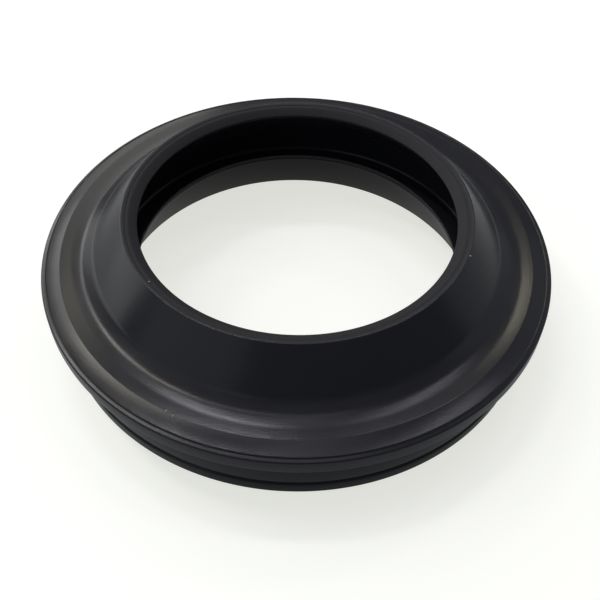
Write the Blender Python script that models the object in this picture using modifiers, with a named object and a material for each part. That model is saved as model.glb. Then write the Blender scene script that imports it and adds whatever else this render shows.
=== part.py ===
"""Fork dust seal: one ring moulded in black rubber, turned from its section.

The fork tube runs through the bore along Z. The thin main lip points up, and
the spigot below the flange presses into the top of the fork leg. Heights are
measured from the flat end of the spigot, radii from the Z axis.
"""
import math

import bpy

MM = 0.001

# Bore: the two lips that touch the fork tube, each a little tighter than it
TUBE_DIAMETER = 27.0 * MM
MAIN_LIP_SQUEEZE = 0.71 * MM
INNER_LIP_SQUEEZE = 0.06 * MM

# Main lip, from its edge outwards and down
LIP_BEVEL_WIDTH = 0.66 * MM
LIP_BEVEL_HEIGHT = 0.43 * MM
LIP_LAND_WIDTH = 0.63 * MM
LIP_LAND_DROP = 0.15 * MM
CONE_WIDTH = 2.82 * MM
CONE_HEIGHT = 3.25 * MM
LIP_THICKNESS = 1.15 * MM

# Flange: a shoulder at the foot of the cone, a shallow gutter, and a slope from its crest to the rim
SHOULDER_WIDTH = 1.2 * MM
SHOULDER_HEIGHT = 0.55 * MM
GUTTER_WIDTH = 1.35 * MM
GUTTER_FALL = 0.02 * MM
SLOPE_WIDTH = 1.1 * MM
SLOPE_DROP = 0.33 * MM
RIM_WIDTH = 0.33 * MM
RIM_DROP = 0.13 * MM
RIM_WALL = 1.22 * MM
FLASH_WIDTH = 0.12 * MM
FLASH_HEIGHT = 0.07 * MM

# Spigot, from its end face up to the flange's seat, with two grip ribs
END_TAPER_WIDTH = 0.53 * MM
END_TAPER_HEIGHT = 0.95 * MM
LOWER_RIB_HEIGHT = 0.83 * MM
RIB_GROOVE_WIDTH = 0.5 * MM
RIB_GROOVE_DEPTH = 0.22 * MM
UPPER_RIB_HEIGHT = 1.72 * MM
RIB_RAMP = 0.3 * MM
NECK_HEIGHT = 1.1 * MM
NECK_DEPTH = 0.45 * MM
SEAT_RELIEF = 0.06 * MM
FLANGE_OVERHANG = 1.05 * MM
END_FACE_WIDTH = 3.4 * MM

# Hollow behind the main lip, and the inner lip that points up out of its floor
HOLLOW_WALL = 1.03 * MM
HOLLOW_BELOW_SEAT = 1.34 * MM
INNER_LIP_RISE = 1.31 * MM
INNER_LIP_TIP = 0.34 * MM
NOTCH_DEPTH = 0.3 * MM
NOTCH_HEIGHT = 0.27 * MM
NOTCH_SETBACK = 0.18 * MM

# Radii of the rounded corners
LIP_EDGE_ROUND = 0.07 * MM
LAND_ROUND = 0.2 * MM
LIP_CREST_ROUND = 0.13 * MM
CONE_FOOT_ROUND = 0.5 * MM
GUTTER_ROUND = 0.6 * MM
FLANGE_CREST_ROUND = 0.35 * MM
RIM_ROUND = 0.14 * MM
RIB_ROUND = 0.18 * MM
END_ROUND = 0.15 * MM
HOLLOW_TOP_ROUND = 2.2 * MM
HOLLOW_FLOOR_ROUND = 0.3 * MM
SHARP = 0.0

# Share of a straight side that the rounding at one of its ends may use up
ROUND_ROOM = 0.48

# Fineness of the mesh: steps round the ring, and how far a facet may lie inside its arc
TURN_STEPS = 84
ARC_SAG = 0.01 * MM

# Finish
RUBBER_COLOUR = (0.018, 0.019, 0.021, 1.0)
RUBBER_ROUGHNESS = 0.42


def lip_corners(rim_side):
    """Corners (radius, height, rounding) from the main lip's edge down the cone and shoulder to the gutter."""
    edge_r = TUBE_DIAMETER / 2 - MAIN_LIP_SQUEEZE
    land_r = edge_r + LIP_BEVEL_WIDTH
    lip_r = land_r + LIP_LAND_WIDTH
    gutter_z = rim_side[0][1] + GUTTER_FALL
    foot_z = gutter_z + SHOULDER_HEIGHT
    lip_z = foot_z + CONE_HEIGHT
    land_z = lip_z - LIP_LAND_DROP
    return [
        (edge_r, land_z - LIP_BEVEL_HEIGHT, LIP_EDGE_ROUND),
        (land_r, land_z, LAND_ROUND),
        (lip_r, lip_z, LIP_CREST_ROUND),
        (lip_r + CONE_WIDTH, foot_z, CONE_FOOT_ROUND),
        (lip_r + CONE_WIDTH + SHOULDER_WIDTH, gutter_z, GUTTER_ROUND),
    ]


def rim_corners():
    """Corners from the flange's crest out over the slope and the flash line to the foot of the rim."""
    lip_r = TUBE_DIAMETER / 2 - MAIN_LIP_SQUEEZE + LIP_BEVEL_WIDTH + LIP_LAND_WIDTH
    crest_r = lip_r + CONE_WIDTH + SHOULDER_WIDTH + GUTTER_WIDTH
    slope_r = crest_r + SLOPE_WIDTH
    flash_r = slope_r + FLASH_WIDTH
    rim_r = flash_r + RIM_WIDTH
    seat_z = END_TAPER_HEIGHT + LOWER_RIB_HEIGHT + RIB_GROOVE_WIDTH + UPPER_RIB_HEIGHT + RIB_RAMP + NECK_HEIGHT
    rim_z = seat_z + RIM_WALL
    slope_z = rim_z + RIM_DROP
    return [
        (crest_r, slope_z + SLOPE_DROP, FLANGE_CREST_ROUND),
        (slope_r, slope_z, SHARP),
        (slope_r + FLASH_WIDTH / 2, slope_z + FLASH_HEIGHT, SHARP),
        (flash_r, slope_z - FLASH_HEIGHT, SHARP),
        (rim_r, rim_z, RIM_ROUND),
        (rim_r, seat_z, RIM_ROUND),
    ]


def spigot_corners(rim_r, seat_z):
    """Corners from the flange's seat down the neck and the two ribs to the end face."""
    rib_r = rim_r - FLANGE_OVERHANG
    neck_r = rib_r - NECK_DEPTH
    rib_top = seat_z - NECK_HEIGHT
    groove_top = rib_top - RIB_RAMP - UPPER_RIB_HEIGHT
    groove_bottom = groove_top - RIB_GROOVE_WIDTH

    # The fillet under the flange reaches past the ribs, so that the flat seat is clear of them
    seat_round = NECK_DEPTH + SEAT_RELIEF
    return [
        (neck_r, seat_z, seat_round),
        (neck_r, rib_top, RIB_ROUND),
        (rib_r, rib_top - RIB_RAMP, RIB_ROUND),
        (rib_r, groove_top, RIB_ROUND),
        (rib_r - RIB_GROOVE_DEPTH, (groove_top + groove_bottom) / 2, SHARP),
        (rib_r, groove_bottom, RIB_ROUND),
        (rib_r, END_TAPER_HEIGHT, RIB_ROUND),
        (rib_r - END_TAPER_WIDTH, 0.0, END_ROUND),
    ]


def inner_corners(lip, foot, end_r, seat_z):
    """Corners of the inside: up the flared bore, over the inner lip, and round the hollow."""
    bore_r = end_r - END_FACE_WIDTH
    hollow_r = foot[0] - HOLLOW_WALL
    floor_z = seat_z - HOLLOW_BELOW_SEAT

    # The hollow runs parallel to the cone, one lip's thickness inside it, to the upright wall
    steepness = CONE_HEIGHT / CONE_WIDTH
    drop = LIP_THICKNESS * math.hypot(1.0, steepness)
    hollow_top = lip[1] - (hollow_r - lip[0]) * steepness - drop

    tip_r = TUBE_DIAMETER / 2 - INNER_LIP_SQUEEZE
    tip_top = floor_z + INNER_LIP_RISE
    tip_bottom = tip_top - INNER_LIP_TIP
    return [
        (bore_r, 0.0, END_ROUND),
        (tip_r + NOTCH_SETBACK, tip_bottom - NOTCH_HEIGHT, LIP_EDGE_ROUND),
        (tip_r + NOTCH_DEPTH, tip_bottom - NOTCH_HEIGHT / 3, SHARP),
        (tip_r, tip_bottom, LIP_EDGE_ROUND),
        (tip_r, tip_top, LIP_EDGE_ROUND),
        (hollow_r, floor_z, HOLLOW_FLOOR_ROUND),
        (hollow_r, hollow_top, HOLLOW_TOP_ROUND),
    ]


def section():
    """All the corners of the section in order, down the outside and up the inside."""
    rim = rim_corners()
    rim_r, seat_z, _ = rim[-1]
    lip = lip_corners(rim)
    spigot = spigot_corners(rim_r, seat_z)
    inside = inner_corners(lip[2], lip[3], spigot[-1][0], seat_z)
    return lip + rim + spigot + inside


def rounded(corners):
    """Closed outline through the corners, each rounded by an arc that its neighbours leave room for."""
    points = []
    for i, (r, z, radius) in enumerate(corners):
        if radius == SHARP:
            points.append((r, z))
            continue
        before = corners[i - 1]
        after = corners[(i + 1) % len(corners)]
        in_len = math.hypot(before[0] - r, before[1] - z)
        out_len = math.hypot(after[0] - r, after[1] - z)
        in_r, in_z = (before[0] - r) / in_len, (before[1] - z) / in_len
        out_r, out_z = (after[0] - r) / out_len, (after[1] - z) / out_len
        turn = math.pi - math.acos(in_r * out_r + in_z * out_z)
        slope = math.tan(turn / 2)
        reach = min(radius * slope, in_len * ROUND_ROOM, out_len * ROUND_ROOM)
        radius = reach / slope
        mid = math.hypot(in_r + out_r, in_z + out_z)
        far = math.hypot(radius, reach)
        centre_r = r + (in_r + out_r) / mid * far
        centre_z = z + (in_z + out_z) / mid * far
        start = math.atan2(z + in_z * reach - centre_z, r + in_r * reach - centre_r)
        end = math.atan2(z + out_z * reach - centre_z, r + out_r * reach - centre_r)
        sweep = (end - start + math.pi) % math.tau - math.pi
        widest = 2 * math.acos(max(0.0, 1.0 - ARC_SAG / radius))
        steps = max(1, round(abs(sweep) / widest))
        for k in range(steps + 1):
            angle = start + sweep * k / steps
            points.append((centre_r + radius * math.cos(angle), centre_z + radius * math.sin(angle)))
    return points


def rubber():
    """Black nitrile rubber with a smooth moulded skin."""
    material = bpy.data.materials.new("black_rubber")
    material.use_nodes = True
    shader = material.node_tree.nodes["Principled BSDF"]
    shader.inputs["Base Color"].default_value = RUBBER_COLOUR
    shader.inputs["Roughness"].default_value = RUBBER_ROUGHNESS
    shader.inputs["Metallic"].default_value = 0.0
    return material


def turned_ring(name, outline, collection):
    """Ring turned once round the Z axis from a closed outline of (radius, height) points."""
    count = len(outline)
    mesh = bpy.data.meshes.new(name)
    verts = [(r, 0.0, z) for r, z in outline]
    edges = [(i, (i + 1) % count) for i in range(count)]
    mesh.from_pydata(verts, edges, [])
    ring = bpy.data.objects.new(name, mesh)
    collection.objects.link(ring)
    turn = ring.modifiers.new("turn", "SCREW")
    turn.axis = "Z"
    turn.angle = math.tau
    turn.screw_offset = 0.0
    turn.steps = TURN_STEPS
    turn.render_steps = TURN_STEPS
    turn.use_smooth_shade = True
    return ring


def main():
    for old in list(bpy.data.objects):
        bpy.data.objects.remove(old, do_unlink=True)
    collection = bpy.data.collections.new("fork_dust_seal")
    bpy.context.scene.collection.children.link(collection)
    seal = turned_ring("dust_seal", rounded(section()), collection)
    seal.data.materials.append(rubber())


main()
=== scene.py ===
"""Looks of a fork dust seal: the moulded rubber ring as a fine mesh, its rubber, and a pale studio."""
import math
import random

import bmesh
import bpy
from bpy.props import FloatProperty, IntProperty, PointerProperty, StringProperty
from mathutils import Matrix, Vector


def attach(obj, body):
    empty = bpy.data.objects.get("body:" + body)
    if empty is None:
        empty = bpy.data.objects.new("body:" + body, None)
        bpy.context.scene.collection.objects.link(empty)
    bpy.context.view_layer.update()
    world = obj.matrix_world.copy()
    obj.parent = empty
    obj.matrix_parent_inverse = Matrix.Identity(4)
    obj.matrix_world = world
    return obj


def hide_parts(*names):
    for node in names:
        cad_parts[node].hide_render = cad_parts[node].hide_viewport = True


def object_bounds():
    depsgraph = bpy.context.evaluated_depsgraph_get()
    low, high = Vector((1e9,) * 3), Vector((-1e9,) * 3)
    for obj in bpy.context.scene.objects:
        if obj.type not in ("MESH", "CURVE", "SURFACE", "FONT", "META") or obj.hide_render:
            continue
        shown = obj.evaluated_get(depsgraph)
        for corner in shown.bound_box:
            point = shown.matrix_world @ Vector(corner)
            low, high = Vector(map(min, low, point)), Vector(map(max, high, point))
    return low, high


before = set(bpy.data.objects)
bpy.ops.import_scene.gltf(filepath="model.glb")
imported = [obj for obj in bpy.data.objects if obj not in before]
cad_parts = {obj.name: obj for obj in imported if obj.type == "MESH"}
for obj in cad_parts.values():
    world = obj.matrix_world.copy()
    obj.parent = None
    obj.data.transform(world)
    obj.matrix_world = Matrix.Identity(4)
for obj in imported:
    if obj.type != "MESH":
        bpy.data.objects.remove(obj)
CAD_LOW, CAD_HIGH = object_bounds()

bl_info = {
    "name": "Fork Dust Seal",
    "version": (1, 0, 0),
    "blender": (4, 5, 0),
    "location": "3D Viewport > Sidebar > Dust Seal",
    "description": "Builds a moulded rubber fork dust seal and the studio it is shown in",
    "category": "Object",
}

MM = 0.001
NODE = "dust_seal"
BODY = "root"
RING_NAME = "seal_ring"
DUST_NAME = "dust_specks"

# Lamps: name, azimuth, elevation, width, height and roll in degrees, level (1 is white), colour
LAMPS = (
    ("strip_low", 142, 39, 8, 46, -38, 5.4, "#FFFCF8"),
    ("strip_high", 158, 57, 6, 29, -27, 9.2, "#FFFAEA"),
    ("strip_end", 175, 71.5, 4, 23, -20, 4.4, "#FBF8FF"),
    ("top_front", 280, 87, 24, 9, 0, 1.4, "#F4F2FF"),
    ("box_left_back", 121, 69, 15, 4, -28, 28.0, "#FBF8FF"),
    ("box_right_back", 44.5, 65, 19, 4, 38, 10.0, "#F8F5FF"),
    ("box_back_left", 116, 45, 7, 23, -70, 4.2, "#FFFBE4"),
    ("box_back_right", 61, 46.5, 5, 5, 0, 22.0, "#FFF8DC"),
    ("box_back", 85, 42, 4, 37, 17, 3.0, "#FFFBE4"),
    ("box_top", 90, 82, 10, 10, 0, 1.6, "#F8F5FF"),
    ("glow_left", 155, 13, 48, 26, 0, 1.7, "#F8FAF6"),
    ("glow_back", 112, 24.5, 22, 28, 0, 1.6, "#FFFDF4"),
    ("glow_right", 23, 23, 48, 48, 0, 0.36, "#F2F6FF"),
    ("fill_front", 215, 33, 48, 48, 0, 0.45, "#F2F6FF"),
)

# Distance in metres from the seal to each lamp
LAMP_REACH = 0.6

# Dust: azimuth in degrees, radius and size in millimetres
DUST = (
    (218.3, 13.72, 0.07),
    (338.9, 14.15, 0.06),
    (243.0, 19.40, 0.06),
    (244.9, 19.52, 0.06),
)

# A speck: how its points wander from a ball and how far it stands up, as shares of its size, and the
# length and roughness of its mottled look
SPECK_WANDER = (0.75, 1.1)
SPECK_RISE = 0.5
DUST_MOTTLE = 0.03 * MM
DUST_ROUGHNESS = 0.9

# Place of the flash line's ridge among the section's corners, and how far from it the line is uneven
FLASH_CORNER = 11
FLASH_REACH = 0.09 * MM

# Share of a straight side that the rounding at one of its ends may use up, and the fewest steps in an arc
ROUND_ROOM = 0.48
ARC_STEPS = 2

# Levels between which nearly all of a noise texture lies, and its middle
NOISE_LOW, NOISE_MIDDLE, NOISE_HIGH = 0.3, 0.5, 0.7

# Rubber: mirror strength, length of the smudges that handling left, and the lip's area that the tube
# wipes, which fades in from the first to the second radius and height
RUBBER_SHEEN = 0.22
SMUDGE_LENGTH = 3.5 * MM
WIPED_RADII = (14.05 * MM, 13.85 * MM)
WIPED_HEIGHTS = (9.8 * MM, 10.1 * MM)

# Floor: a disc in metres, a hair below the seal so that their faces don't meet
FLOOR_RADIUS = 1.5
FLOOR_SIDES = 96
FLOOR_GAP = 0.02 * MM
PAPER_ROUGHNESS = 0.9
PAPER_SHEEN = 0.1

# Camera: sensor in millimetres, and the nearest and farthest things it sees, in metres
SENSOR_WIDTH = 36.0
CLIP_NEAR, CLIP_FAR = 0.001, 20.0


def size(label, millimetres, meaning):
    """A length that a user can change, with its default given in millimetres."""
    value = millimetres * MM
    return FloatProperty(name=label, description=meaning, default=value, unit="LENGTH", precision=6)


def angle(label, degrees, meaning):
    """An angle that a user can change, with its default given in degrees."""
    return FloatProperty(name=label, description=meaning, default=math.radians(degrees), subtype="ANGLE")


def share(label, value, meaning):
    """A plain number that a user can change."""
    return FloatProperty(name=label, description=meaning, default=value, precision=3)


def count(label, value, meaning):
    """A whole number that a user can change."""
    return IntProperty(name=label, description=meaning, default=value, min=1)


def tone(label, code, meaning):
    """A colour that a user can change, as an sRGB hex code."""
    return StringProperty(name=label, description=meaning, default=code)


class SealSection(bpy.types.PropertyGroup):
    """Sizes of the ring's section, from the lip's edge down the outside and up the inside."""

    rim_radius: size("Rim radius", CAD_HIGH.x / MM, "Outer radius of the flange")
    height: size("Height", CAD_HIGH.z / MM, "From the spigot's end face to the top of the lip")
    flash_width: size("Flash width", 0.12, "Width of the line where the mould's halves met")
    flash_height: size("Flash height", 0.07, "Height of that line above the slope")
    rim_width: size("Rim width", 0.33, "Width of the rim outside the flash line")
    rim_drop: size("Rim drop", 0.13, "Fall from the slope's foot to the rim's edge")
    slope_width: size("Slope width", 1.12, "Width of the slope between the crest and the flash line")
    slope_drop: size("Slope drop", 0.34, "Fall of that slope")
    gutter_width: size("Gutter width", 1.0, "Width of the nearly level gutter inside the crest")
    gutter_fall: size("Gutter fall", 0.05, "Fall of the gutter's floor towards the crest")
    apron_width: size("Apron width", 0.8, "Width of the apron between the shoulder and the gutter")
    apron_height: size("Apron height", 0.14, "Height of that apron")
    shoulder_width: size("Shoulder width", 0.96, "Width of the shoulder at the foot of the cone")
    shoulder_height: size("Shoulder height", 0.43, "Height of that shoulder")
    cone_width: size("Cone width", 2.59, "Width of the cone, from its foot in to the lip")
    lip_groove_place: size("Lip groove place", 0.38, "From the lip's crest in to the fine groove on the land")
    lip_groove_width: size("Lip groove width", 0.14, "Width of the fine groove on the land")
    lip_groove_depth: size("Lip groove depth", 0.04, "Depth of that groove")
    land_width: size("Land width", 0.63, "Width of the land on top of the lip")
    land_drop: size("Land drop", 0.15, "Fall of the land towards the tube")
    bevel_width: size("Bevel width", 0.66, "Width of the bevel down to the lip's edge")
    bevel_height: size("Bevel height", 0.43, "Height of that bevel")
    lip_thickness: size("Lip thickness", 1.15, "Thickness of the lip, square to the cone")
    rim_wall: size("Rim wall", 1.22, "Height of the flange's outer wall")
    overhang: size("Overhang", 1.05, "How far the flange stands out past the ribs")
    neck_depth: size("Neck depth", 0.45, "How far the neck lies inside the ribs")
    neck_height: size("Neck height", 1.1, "Height of the neck under the flange")
    rib_ramp: size("Rib ramp", 0.3, "Height of the ramp from the neck out to the upper rib")
    upper_rib: size("Upper rib", 1.72, "Height of the upper rib")
    lower_rib: size("Lower rib", 0.83, "Height of the lower rib")
    groove_width: size("Groove width", 0.5, "Width of the groove between the ribs")
    groove_depth: size("Groove depth", 0.22, "Depth of that groove")
    end_taper_height: size("Taper height", 0.95, "Height of the taper that leads the spigot in")
    end_taper_width: size("Taper width", 0.53, "Width of that taper")
    end_face: size("End face", 3.4, "Width of the flat end face")
    tip_radius: size("Inner lip radius", 13.44, "Radius of the inner lip's edge")
    tip_height: size("Inner lip edge", 0.34, "Height of the inner lip's edge")
    tip_rise: size("Inner lip rise", 1.31, "How far the inner lip stands up out of the hollow's floor")
    notch_depth: size("Notch depth", 0.3, "Depth of the notch under the inner lip")
    notch_height: size("Notch height", 0.27, "Height of that notch")
    notch_setback: size("Notch setback", 0.18, "How far the bore lies behind the inner lip's edge")
    hollow_wall: size("Hollow wall", 0.8, "Rubber left between the hollow and the foot of the cone")
    hollow_floor: size("Hollow floor", 1.34, "From the flange's seat down to the hollow's floor")
    fine_round: size("Fine round", 0.03, "Radius of the flash line's and the notch's edges")
    lip_round: size("Lip round", 0.07, "Radius of the edges of both lips and of the fine grooves")
    land_round: size("Land round", 0.2, "Radius between the land and the bevel")
    lip_crest_round: size("Lip crest round", 0.13, "Radius of the top of the main lip")
    cone_foot_round: size("Cone foot round", 1.2, "Radius between the cone and the shoulder")
    apron_round: size("Apron round", 2.2, "Radius between the shoulder and the apron")
    gutter_round: size("Gutter round", 4.0, "Radius between the apron and the gutter")
    crest_round: size("Crest round", 0.35, "Radius of the flange's crest")
    rim_round: size("Rim round", 0.14, "Radius of the rim's edges")
    neck_round: size("Neck round", 0.51, "Radius between the neck and the seat")
    rib_round: size("Rib round", 0.18, "Radius of the ribs' edges")
    end_round: size("End round", 0.15, "Radius of the end face's edges")
    floor_round: size("Floor round", 0.3, "Radius at the hollow's floor")
    roof_round: size("Roof round", 2.2, "Radius under the cone, at the top of the hollow")


class SealFinish(bpy.types.PropertyGroup):
    """Fineness of the mesh, and the finish of the rubber and of the dust on it."""

    turns: count("Steps round the ring", 450, "Steps in one turn of the section")
    sag: size("Arc sag", 0.0012, "How far a facet may lie inside its arc")
    flash_unevenness: size("Flash unevenness", 0.03, "How far the flash line's height wanders")
    flash_nicks: size("Flash nicks", 0.9, "Length of the flash line's bumps and nicks")
    waviness: size("Waviness", 0.0028, "How far the moulded skin wanders from a true turned face")
    wave_length: size("Wave length", 5.0, "Length of those waves")
    seed: count("Seed", 7, "Seed of the waves and of the specks' forms")
    rubber: tone("Rubber", "#212227", "Carbon-black rubber with a cool cast")
    rubber_dull: tone("Dull rubber", "#25262B", "The same rubber where handling has dulled it")
    gloss_roughness: share("Gloss roughness", 0.2, "Roughness of the cleanest moulded skin")
    dull_roughness: share("Dull roughness", 0.24, "Roughness where handling has dulled it")
    wiped_roughness: share("Wiped roughness", 0.7, "Roughness of the lip's inner side, which the tube wipes")
    grain: size("Grain", 0.16, "Width of the grain that the mould's steel left in the skin")
    grain_height: size("Grain height", 0.0045, "Height of that grain")
    ring_pitch: size("Ring pitch", 0.11, "Spacing of the turning marks that the mould left")
    ring_height: size("Ring height", 0.0003, "Height of those marks")
    dust: tone("Dust", "#D6D4CC", "Pale dust caught on the rubber")
    dust_dark: tone("Dark dust", "#77756F", "The same dust where grime has darkened it")


class StageSettings(bpy.types.PropertyGroup):
    """Camera, paper floor and the room around them."""

    camera_x: size("Camera X", 0.342, "Place of the lens to the right of the axis")
    camera_y: size("Camera Y", -50.121, "Place of the lens in front of the axis")
    camera_z: size("Camera Z", 55.984, "Height of the lens above the floor")
    tilt: angle("Tilt", 48.37, "How far the camera looks down")
    roll: angle("Roll", 1.27, "How far the camera is turned about its view")
    lens: share("Lens", 50.23, "Focal length in millimetres")
    floor: tone("Floor", "#A6A9AD", "Pale paper sweep")
    floor_white: tone("Floor white", "#FEFFF7", "The white that the paper clears to")
    floor_glow: share("Floor glow", 0.7, "How much of that white the camera sees as the paper's own light")
    floor_near: size("Floor near", 90.0, "Distance from the seal past which the paper's own light grows")
    floor_far: size("Floor far", 350.0, "Distance at which it is full white, so that its edge doesn't show")
    floor_mirror: share("Floor mirror", 0.18, "How much of it shows in reflections and through clear things")
    air: tone("Air", "#E8EAF2", "Colour of the dim room around the lamps")
    air_level: share("Air level", 0.15, "Brightness of that room")


def linear(code):
    """sRGB hex colour as linear red, green, blue and alpha."""
    parts = [int(code[i:i + 2], 16) / 255 for i in (1, 3, 5)]
    return tuple(c / 12.92 if c <= 0.04045 else ((c + 0.055) / 1.055) ** 2.4 for c in parts) + (1.0,)


def add_node(tree, kind, links=None, **settings):
    """Adds a node, sets its properties and its inputs (by name or number), and returns it."""
    node = tree.nodes.new(kind)
    for name, value in settings.items():
        setattr(node, name, value)
    for key, value in (links or {}).items():
        if isinstance(value, bpy.types.NodeSocket):
            tree.links.new(value, node.inputs[key])
        else:
            node.inputs[key].default_value = value
    return node


def from_axis(tree, place):
    """A place's distance from the ring's axis, its height, and the two as one vector, in a node tree."""
    height = add_node(tree, "ShaderNodeSeparateXYZ", {0: place}).outputs["Z"]
    flat = add_node(tree, "ShaderNodeVectorMath", {0: place, 1: (1.0, 1.0, 0.0)}, operation="MULTIPLY")
    out = add_node(tree, "ShaderNodeVectorMath", {0: flat.outputs[0]}, operation="LENGTH").outputs["Value"]
    spot = add_node(tree, "ShaderNodeCombineXYZ", {0: out, 1: height}).outputs[0]
    return out, height, spot


def section_corners(s):
    """Corners (radius, height, rounding) of the closed section, down the outside and up the inside."""
    rim_r = s.rim_radius
    flash_r = rim_r - s.rim_width
    slope_r = flash_r - s.flash_width
    crest_r = slope_r - s.slope_width
    gutter_r = crest_r - s.gutter_width
    apron_r = gutter_r - s.apron_width
    foot_r = apron_r - s.shoulder_width
    lip_r = foot_r - s.cone_width
    land_r = lip_r - s.land_width
    edge_r = land_r - s.bevel_width
    ribs = s.lower_rib + s.groove_width + s.upper_rib + s.rib_ramp
    seat_z = s.end_taper_height + ribs + s.neck_height
    rim_z = seat_z + s.rim_wall
    slope_z = rim_z + s.rim_drop
    crest_z = slope_z + s.slope_drop
    gutter_z = crest_z + s.gutter_fall
    apron_z = gutter_z + s.apron_height
    foot_z = apron_z + s.shoulder_height
    lip_z = s.height
    land_z = lip_z - s.land_drop
    groove_r = lip_r - s.lip_groove_place
    half = s.lip_groove_width / 2
    fall = s.land_drop / s.land_width
    groove_z = lip_z - s.lip_groove_place * fall
    outside = [
        (edge_r, land_z - s.bevel_height, s.lip_round),
        (land_r, land_z, s.land_round),
        (groove_r - half, groove_z - half * fall, s.lip_round),
        (groove_r, groove_z - s.lip_groove_depth, s.lip_round),
        (groove_r + half, groove_z + half * fall, s.lip_round),
        (lip_r, lip_z, s.lip_crest_round),
        (foot_r, foot_z, s.cone_foot_round),
        (apron_r, apron_z, s.apron_round),
        (gutter_r, gutter_z, s.gutter_round),
        (crest_r, crest_z, s.crest_round),
        (slope_r, slope_z, s.fine_round),
        (slope_r + s.flash_width / 2, slope_z + s.flash_height, s.fine_round),
        (flash_r, slope_z - s.flash_height, s.fine_round),
        (rim_r, rim_z, s.rim_round),
        (rim_r, seat_z, s.rim_round),
    ]
    rib_r = rim_r - s.overhang
    neck_r = rib_r - s.neck_depth
    rib_top = seat_z - s.neck_height
    groove_top = rib_top - s.rib_ramp - s.upper_rib
    groove_low = groove_top - s.groove_width
    spigot = [
        (neck_r, seat_z, s.neck_round),
        (neck_r, rib_top, s.rib_round),
        (rib_r, rib_top - s.rib_ramp, s.rib_round),
        (rib_r, groove_top, s.rib_round),
        (rib_r - s.groove_depth, (groove_top + groove_low) / 2, s.lip_round),
        (rib_r, groove_low, s.rib_round),
        (rib_r, s.end_taper_height, s.rib_round),
        (rib_r - s.end_taper_width, 0.0, s.end_round),
    ]

    # The hollow runs parallel to the cone, one lip's thickness inside it, to its upright wall
    floor_z = seat_z - s.hollow_floor
    hollow_r = foot_r - s.hollow_wall
    steepness = (lip_z - foot_z) / s.cone_width
    drop = s.lip_thickness * math.hypot(1.0, steepness)
    hollow_top = lip_z - (hollow_r - lip_r) * steepness - drop
    tip_top = floor_z + s.tip_rise
    tip_low = tip_top - s.tip_height
    inside = [
        (rib_r - s.end_taper_width - s.end_face, 0.0, s.end_round),
        (s.tip_radius + s.notch_setback, tip_low - s.notch_height, s.lip_round),
        (s.tip_radius + s.notch_depth, tip_low - s.notch_height / 3, s.fine_round),
        (s.tip_radius, tip_low, s.lip_round),
        (s.tip_radius, tip_top, s.lip_round),
        (hollow_r, floor_z, s.floor_round),
        (hollow_r, hollow_top, s.roof_round),
    ]
    return outside + spigot + inside


def rounded(corners, sag):
    """Closed outline through the corners, each rounded by an arc that its neighbours leave room for."""
    points = []
    for i, (r, z, radius) in enumerate(corners):
        here = Vector((r, z))
        before = Vector(corners[i - 1][:2]) - here
        after = Vector(corners[(i + 1) % len(corners)][:2]) - here
        slope = math.tan((math.pi - before.angle(after)) / 2)
        reach = min(radius * slope, before.length * ROUND_ROOM, after.length * ROUND_ROOM)
        radius = reach / slope
        middle = before.normalized() + after.normalized()
        centre = here + middle.normalized() * math.hypot(radius, reach)
        first = here + before.normalized() * reach - centre
        last = here + after.normalized() * reach - centre
        start = math.atan2(first.y, first.x)
        sweep = (math.atan2(last.y, last.x) - start + math.pi) % math.tau - math.pi
        widest = 2 * math.acos(1.0 - min(1.0, sag / radius))
        steps = max(ARC_STEPS, round(abs(sweep) / widest))
        for k in range(steps + 1):
            turned = start + sweep * k / steps
            points.append(centre + radius * Vector((math.cos(turned), math.sin(turned))))
    return points


def skin_waves(tree, given, place):
    """Long, low waves, square to the skin, that keep the moulded faces from looking machined."""
    pitch = add_node(tree, "ShaderNodeMath", {0: 1.0, 1: given["Wave Length"]}, operation="DIVIDE")
    waves = add_node(
        tree,
        "ShaderNodeTexNoise",
        {"Vector": place, "W": given["Seed"], "Scale": pitch.outputs[0], "Detail": 3.0, "Roughness": 0.45},
        noise_dimensions="4D",
    )
    middle = add_node(tree, "ShaderNodeMath", {0: waves.outputs[0], 1: NOISE_MIDDLE}, operation="SUBTRACT")
    height = add_node(
        tree,
        "ShaderNodeMath",
        {0: middle.outputs[0], 1: given["Waviness"]},
        operation="MULTIPLY",
    )
    normal = add_node(tree, "GeometryNodeInputNormal").outputs[0]
    offset = add_node(
        tree,
        "ShaderNodeVectorMath",
        {0: normal, "Scale": height.outputs[0]},
        operation="SCALE",
    )
    return offset.outputs[0]


def flash_nicks(tree, given, place):
    """Bumps and nicks that move the flash line up and down, and fade out a short way from its ridge."""
    spot = from_axis(tree, place)[2]
    far = add_node(tree, "ShaderNodeVectorMath", {0: spot, 1: given["Flash Line"]}, operation="DISTANCE")
    near = add_node(
        tree,
        "ShaderNodeMapRange",
        {"Value": far.outputs["Value"], "From Min": FLASH_REACH, "From Max": 0.0},
    )
    pitch = add_node(tree, "ShaderNodeMath", {0: 1.0, 1: given["Flash Nicks"]}, operation="DIVIDE")
    nicks = add_node(tree, "ShaderNodeTexNoise", {"Vector": place, "Scale": pitch.outputs[0], "Detail": 2.0})
    lift = add_node(
        tree,
        "ShaderNodeMapRange",
        {
            "Value": nicks.outputs[0],
            "From Min": NOISE_LOW,
            "From Max": NOISE_HIGH,
            "To Min": -1.0,
            "To Max": 1.0,
        },
    )
    for factor in (near.outputs[0], given["Flash Unevenness"]):
        lift = add_node(tree, "ShaderNodeMath", {0: lift.outputs[0], 1: factor}, operation="MULTIPLY")
    return add_node(tree, "ShaderNodeCombineXYZ", {2: lift.outputs[0]}).outputs[0]


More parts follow.
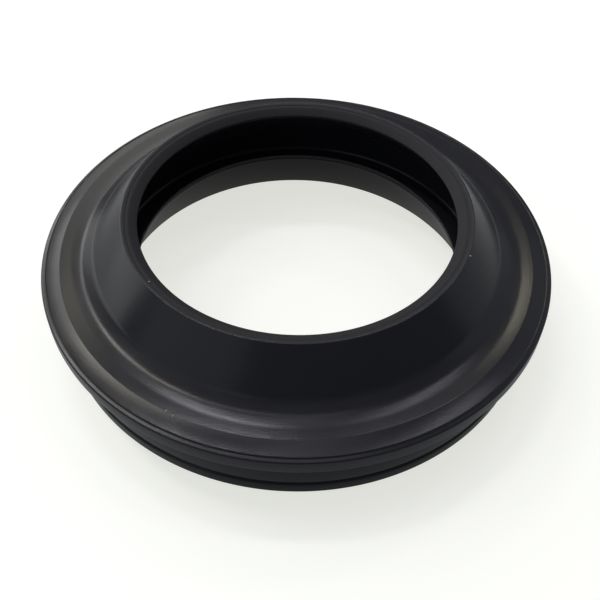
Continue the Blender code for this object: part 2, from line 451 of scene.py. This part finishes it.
def turning_tree():
    """Node tree that turns a section outline into a ring and lets its skin wander a little."""
    tree = bpy.data.node_groups.new("turned_ring", "GeometryNodeTree")
    for name, kind in (
        ("Section", "NodeSocketGeometry"),
        ("Steps", "NodeSocketInt"),
        ("Turning Radius", "NodeSocketFloat"),
        ("Waviness", "NodeSocketFloat"),
        ("Wave Length", "NodeSocketFloat"),
        ("Seed", "NodeSocketInt"),
        ("Flash Line", "NodeSocketVector"),
        ("Flash Unevenness", "NodeSocketFloat"),
        ("Flash Nicks", "NodeSocketFloat"),
        ("Rubber", "NodeSocketMaterial"),
    ):
        tree.interface.new_socket(name, in_out="INPUT", socket_type=kind)
    tree.interface.new_socket("Ring", in_out="OUTPUT", socket_type="NodeSocketGeometry")
    given = add_node(tree, "NodeGroupInput").outputs

    outline = add_node(tree, "GeometryNodeMeshToCurve", {"Mesh": given["Section"]})
    circle = add_node(
        tree,
        "GeometryNodeCurvePrimitiveCircle",
        {"Resolution": given["Steps"], "Radius": given["Turning Radius"]},
    )
    upright = add_node(tree, "GeometryNodeSetCurveNormal", {"Curve": circle.outputs["Curve"]}, mode="Z_UP")
    ring = add_node(
        tree,
        "GeometryNodeCurveToMesh",
        {
            "Curve": upright.outputs["Curve"],
            "Profile Curve": outline.outputs["Curve"],
            "Fill Caps": False,
        },
    )

    place = add_node(tree, "GeometryNodeInputPosition").outputs[0]
    waves = skin_waves(tree, given, place)
    nicks = flash_nicks(tree, given, place)
    offset = add_node(tree, "ShaderNodeVectorMath", {0: waves, 1: nicks}, operation="ADD")
    moved = add_node(
        tree,
        "GeometryNodeSetPosition",
        {"Geometry": ring.outputs["Mesh"], "Offset": offset.outputs[0]},
    )
    smooth = add_node(tree, "GeometryNodeSetShadeSmooth", {0: moved.outputs[0]})
    whole = add_node(tree, "GeometryNodeRealizeInstances", {0: smooth.outputs[0]})
    dressed = add_node(
        tree,
        "GeometryNodeSetMaterial",
        {"Geometry": whole.outputs[0], "Material": given["Rubber"]},
    )
    add_node(tree, "NodeGroupOutput", {"Ring": dressed.outputs[0]})
    return tree


def set_inputs(modifier, values):
    """Sets a node modifier's inputs, found by name and set by their sockets' identifiers."""
    for item in modifier.node_group.interface.items_tree:
        if item.item_type == "SOCKET" and item.in_out == "INPUT" and item.name in values:
            modifier[item.identifier] = values[item.name]


def new_material(name):
    """A new material, its node tree and its shader."""
    material = bpy.data.materials.new(name)
    material.use_nodes = True
    return material, material.node_tree, material.node_tree.nodes["Principled BSDF"]


def moulded_rubber(finish):
    """Carbon-black nitrile rubber, pressed in a turned and lightly eroded steel mould.

    The eye gets a satin skin: soft, fairly tight highlights, broken up by a fine grain.
    """
    material, tree, shader = new_material("moulded_nitrile_rubber")
    shader.inputs["Specular IOR Level"].default_value = RUBBER_SHEEN
    place = add_node(tree, "ShaderNodeTexCoord").outputs["Object"]
    out, height, spot = from_axis(tree, place)

    # Smudges from handling change the colour and the gloss a little, and the wiped lip is matt
    smudges = add_node(
        tree,
        "ShaderNodeTexNoise",
        {"Vector": place, "Scale": 1 / SMUDGE_LENGTH, "Detail": 4.0, "Roughness": 0.6},
    ).outputs[0]
    colour = add_node(
        tree,
        "ShaderNodeMix",
        {"Factor": smudges, "A": linear(finish.rubber), "B": linear(finish.rubber_dull)},
        data_type="RGBA",
    )
    tree.links.new(colour.outputs["Result"], shader.inputs["Base Color"])
    handled = add_node(
        tree,
        "ShaderNodeMapRange",
        {
            "Value": smudges,
            "From Min": NOISE_LOW,
            "From Max": NOISE_HIGH,
            "To Min": finish.gloss_roughness,
            "To Max": finish.dull_roughness,
        },
    )
    inner, upper = (
        add_node(tree, "ShaderNodeMapRange", {"Value": value, "From Min": first, "From Max": last})
        for value, (first, last) in ((out, WIPED_RADII), (height, WIPED_HEIGHTS))
    )
    wiped = add_node(
        tree,
        "ShaderNodeMath",
        {0: inner.outputs[0], 1: upper.outputs[0]},
        operation="MULTIPLY",
    )
    rough = add_node(
        tree,
        "ShaderNodeMix",
        {"Factor": wiped.outputs[0], "A": handled.outputs[0], "B": finish.wiped_roughness},
    )
    tree.links.new(rough.outputs[0], shader.inputs["Roughness"])

    # Relief that the mould left: a fine grain, and turning marks that run round the ring
    grain = add_node(tree, "ShaderNodeTexNoise", {"Vector": place, "Scale": 1 / finish.grain, "Detail": 1.0})
    rings = add_node(
        tree,
        "ShaderNodeTexNoise",
        {"Vector": spot, "Scale": 1 / finish.ring_pitch, "Detail": 2.0},
    )
    bump = add_node(
        tree,
        "ShaderNodeBump",
        {"Height": grain.outputs[0], "Distance": finish.grain_height, "Strength": 1.0},
    )
    bump = add_node(
        tree,
        "ShaderNodeBump",
        {
            "Height": rings.outputs[0],
            "Distance": finish.ring_height,
            "Strength": 1.0,
            "Normal": bump.outputs[0],
        },
    )
    tree.links.new(bump.outputs[0], shader.inputs["Normal"])
    return material


def pale_dust(finish):
    """Specks of pale lint and dust. The eye gets matt, mottled specks that don't look like beads."""
    material, tree, shader = new_material("pale_dust")
    shader.inputs["Roughness"].default_value = DUST_ROUGHNESS
    place = add_node(tree, "ShaderNodeTexCoord").outputs["Object"]
    mottle = add_node(tree, "ShaderNodeTexNoise", {"Vector": place, "Scale": 1 / DUST_MOTTLE, "Detail": 2.0})
    colour = add_node(
        tree,
        "ShaderNodeMix",
        {"Factor": mottle.outputs[0], "A": linear(finish.dust), "B": linear(finish.dust_dark)},
        data_type="RGBA",
    )
    tree.links.new(colour.outputs["Result"], shader.inputs["Base Color"])
    return material


def outline_object(points, radius):
    """The section as an object of edges, measured from the turning radius, for the node tree to turn."""
    mesh = bpy.data.meshes.new(RING_NAME)
    verts = [(p.x - radius, -p.y, 0.0) for p in points]
    edges = [(i, (i + 1) % len(points)) for i in range(len(points))]
    mesh.from_pydata(verts, edges, [])
    outline = bpy.data.objects.new(RING_NAME, mesh)
    bpy.context.scene.collection.objects.link(outline)
    return outline


class SEAL_OT_ring(bpy.types.Operator):
    """Turn the moulded rubber ring from its section"""

    bl_idname = "seal.ring"
    bl_label = "Moulded Ring"

    def execute(self, context):
        finish = context.scene.seal_finish
        corners = section_corners(context.scene.seal_section)
        points = rounded(corners, finish.sag)
        radius = sum(p.x for p in points) / len(points)
        ring = outline_object(points, radius)
        turn = ring.modifiers.new("turn", "NODES")
        turn.node_group = turning_tree()
        set_inputs(turn, {
            "Steps": finish.turns,
            "Turning Radius": radius,
            "Waviness": finish.waviness,
            "Wave Length": finish.wave_length,
            "Seed": finish.seed,
            "Flash Line": (corners[FLASH_CORNER][0], corners[FLASH_CORNER][1], 0.0),
            "Flash Unevenness": finish.flash_unevenness,
            "Flash Nicks": finish.flash_nicks,
            "Rubber": moulded_rubber(finish),
        })
        made = bpy.data.meshes.new_from_object(ring.evaluated_get(context.evaluated_depsgraph_get()))
        ring.modifiers.remove(turn)
        ring.data = made
        if not made.polygons:
            raise RuntimeError("the section gave no ring")
        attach(ring, BODY)
        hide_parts(NODE)
        return {"FINISHED"}


class SEAL_OT_dust(bpy.types.Operator):
    """Lay a few specks of dust on the rubber"""

    bl_idname = "seal.dust"
    bl_label = "Dust"

    def execute(self, context):
        finish = context.scene.seal_finish
        ring = bpy.data.objects.get(RING_NAME)
        if ring is None:
            raise RuntimeError("the dust needs the ring to lie on")
        wander = random.Random(finish.seed)
        made = bmesh.new()
        for azimuth, radius, size_mm in DUST:
            a = math.radians(azimuth)
            above = Vector((radius * MM * math.cos(a), radius * MM * math.sin(a), 2 * CAD_HIGH.z))
            hit, place, normal, _ = ring.ray_cast(above, Vector((0.0, 0.0, -1.0)))
            if not hit:
                raise RuntimeError("a speck of dust missed the rubber")
            speck = bmesh.ops.create_icosphere(made, subdivisions=2, radius=size_mm * MM)
            for vert in speck["verts"]:
                vert.co = vert.co * wander.uniform(*SPECK_WANDER) + place + normal * size_mm * MM * SPECK_RISE
        mesh = bpy.data.meshes.new(DUST_NAME)
        made.to_mesh(mesh)
        made.free()
        dust = bpy.data.objects.new(DUST_NAME, mesh)
        dust.data.materials.append(pale_dust(finish))
        context.scene.collection.objects.link(dust)
        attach(dust, BODY)
        return {"FINISHED"}


def paper(stage):
    """Matt white paper.

    The eye gets a sheet that is white all round, with the seal's soft shadow on it. Its own light
    lights nothing: it shows to the camera and, dimmer, in reflections and through clear things.
    """
    material, tree, shader = new_material("matt_white_paper")
    shader.inputs["Base Color"].default_value = linear(stage.floor)
    shader.inputs["Roughness"].default_value = PAPER_ROUGHNESS
    shader.inputs["Specular IOR Level"].default_value = PAPER_SHEEN
    shader.inputs["Emission Color"].default_value = linear(stage.floor_white)
    rays = add_node(tree, "ShaderNodeLightPath").outputs
    mirrored = add_node(
        tree,
        "ShaderNodeMath",
        {0: rays["Is Glossy Ray"], 1: rays["Is Transmission Ray"]},
        operation="MAXIMUM",
    )
    mirrored = add_node(
        tree,
        "ShaderNodeMath",
        {0: mirrored.outputs[0], 1: stage.floor_mirror},
        operation="MULTIPLY",
    )

    # Far from the seal the lamps fade, so the paper's own light grows there
    place = add_node(tree, "ShaderNodeTexCoord").outputs["Object"]
    away = add_node(tree, "ShaderNodeVectorMath", {0: place}, operation="LENGTH")
    clear = add_node(
        tree,
        "ShaderNodeMapRange",
        {
            "Value": away.outputs["Value"],
            "From Min": stage.floor_near,
            "From Max": stage.floor_far,
            "To Min": stage.floor_glow,
            "To Max": 1.0,
        },
    )
    seen = add_node(
        tree,
        "ShaderNodeMath",
        {0: rays["Is Camera Ray"], 1: clear.outputs[0]},
        operation="MULTIPLY",
    )
    glow = add_node(tree, "ShaderNodeMath", {0: seen.outputs[0], 1: mirrored.outputs[0]}, operation="ADD")
    tree.links.new(glow.outputs[0], shader.inputs["Emission Strength"])
    return material


def room(stage):
    """Room around the lamps. The eye gets dim air in reflections, and white past the paper's edge."""
    world = bpy.data.worlds.new("studio")
    world.use_nodes = True
    tree = world.node_tree
    air = tree.nodes["Background"]
    air.inputs["Color"].default_value = linear(stage.air)
    air.inputs["Strength"].default_value = stage.air_level
    white = add_node(tree, "ShaderNodeBackground", {"Color": linear(stage.floor_white), "Strength": 1.0})
    rays = add_node(tree, "ShaderNodeLightPath").outputs
    seen = add_node(
        tree,
        "ShaderNodeMath",
        {0: rays["Is Camera Ray"], 1: rays["Is Transmission Ray"]},
        operation="MAXIMUM",
    )
    mix = add_node(
        tree,
        "ShaderNodeMixShader",
        {0: seen.outputs[0], 1: air.outputs[0], 2: white.outputs[0]},
    )
    tree.links.new(mix.outputs[0], tree.nodes["World Output"].inputs["Surface"])
    return world


def lamp(name, azimuth, elevation, width, height, roll, level, code):
    """Soft box that faces the seal, placed and sized in degrees. A level of 1 is as bright as white."""
    data = bpy.data.lights.new(name, "AREA")
    data.shape = "RECTANGLE"
    data.size = 2 * LAMP_REACH * math.tan(math.radians(width) / 2)
    data.size_y = 2 * LAMP_REACH * math.tan(math.radians(height) / 2)
    data.energy = level * math.pi * data.size * data.size_y
    data.color = linear(code)[:3]
    box = bpy.data.objects.new(name, data)
    a, e = math.radians(azimuth), math.radians(elevation)
    away = Vector((math.cos(a) * math.cos(e), math.sin(a) * math.cos(e), math.sin(e)))
    turn = away.to_track_quat("Z", "Y").to_matrix().to_4x4() @ Matrix.Rotation(math.radians(roll), 4, "Z")
    box.matrix_world = Matrix.Translation(away * LAMP_REACH) @ turn
    box.visible_camera = False
    bpy.context.scene.collection.objects.link(box)


def add_camera(scene, stage):
    """The camera, from where the photo was taken."""
    data = bpy.data.cameras.new("camera")
    data.lens = stage.lens
    data.sensor_width = SENSOR_WIDTH
    data.clip_start = CLIP_NEAR
    data.clip_end = CLIP_FAR
    camera = bpy.data.objects.new("camera", data)
    turn = Matrix.Rotation(math.pi / 2 - stage.tilt, 4, "X") @ Matrix.Rotation(stage.roll, 4, "Z")
    place = Matrix.Translation((stage.camera_x, stage.camera_y, stage.camera_z))
    camera.matrix_world = place @ turn
    scene.collection.objects.link(camera)
    scene.camera = camera


class SEAL_OT_stage(bpy.types.Operator):
    """Set up the camera, the floor and the lamps"""

    bl_idname = "seal.stage"
    bl_label = "Studio"

    def execute(self, context):
        stage = context.scene.seal_stage
        scene = context.scene
        add_camera(scene, stage)
        scene.view_settings.view_transform = "Standard"

        bpy.ops.mesh.primitive_circle_add(
            vertices=FLOOR_SIDES,
            radius=FLOOR_RADIUS,
            fill_type="NGON",
            location=(0, 0, -FLOOR_GAP),
        )
        floor = context.object
        floor.name = "floor"
        floor.data.materials.append(paper(stage))

        for row in LAMPS:
            lamp(*row)

        scene.world = room(stage)
        return {"FINISHED"}


class SEAL_PT_panel(bpy.types.Panel):
    """Buttons for the seal and its studio"""

    bl_label = "Fork Dust Seal"
    bl_idname = "SEAL_PT_panel"
    bl_space_type = "VIEW_3D"
    bl_region_type = "UI"
    bl_category = "Dust Seal"

    def draw(self, context):
        column = self.layout.column()
        for operator in OPERATORS:
            column.operator(operator.bl_idname)


OPERATORS = (SEAL_OT_ring, SEAL_OT_dust, SEAL_OT_stage)
CLASSES = (SealSection, SealFinish, StageSettings, *OPERATORS, SEAL_PT_panel)


def register():
    for cls in CLASSES:
        bpy.utils.register_class(cls)
    bpy.types.Scene.seal_section = PointerProperty(type=SealSection)
    bpy.types.Scene.seal_finish = PointerProperty(type=SealFinish)
    bpy.types.Scene.seal_stage = PointerProperty(type=StageSettings)


def unregister():
    del bpy.types.Scene.seal_stage
    del bpy.types.Scene.seal_finish
    del bpy.types.Scene.seal_section
    for cls in reversed(CLASSES):
        bpy.utils.unregister_class(cls)


def main():
    register()
    bpy.ops.seal.ring()
    bpy.ops.seal.dust()
    bpy.ops.seal.stage()


if __name__ == "__main__":
    main()
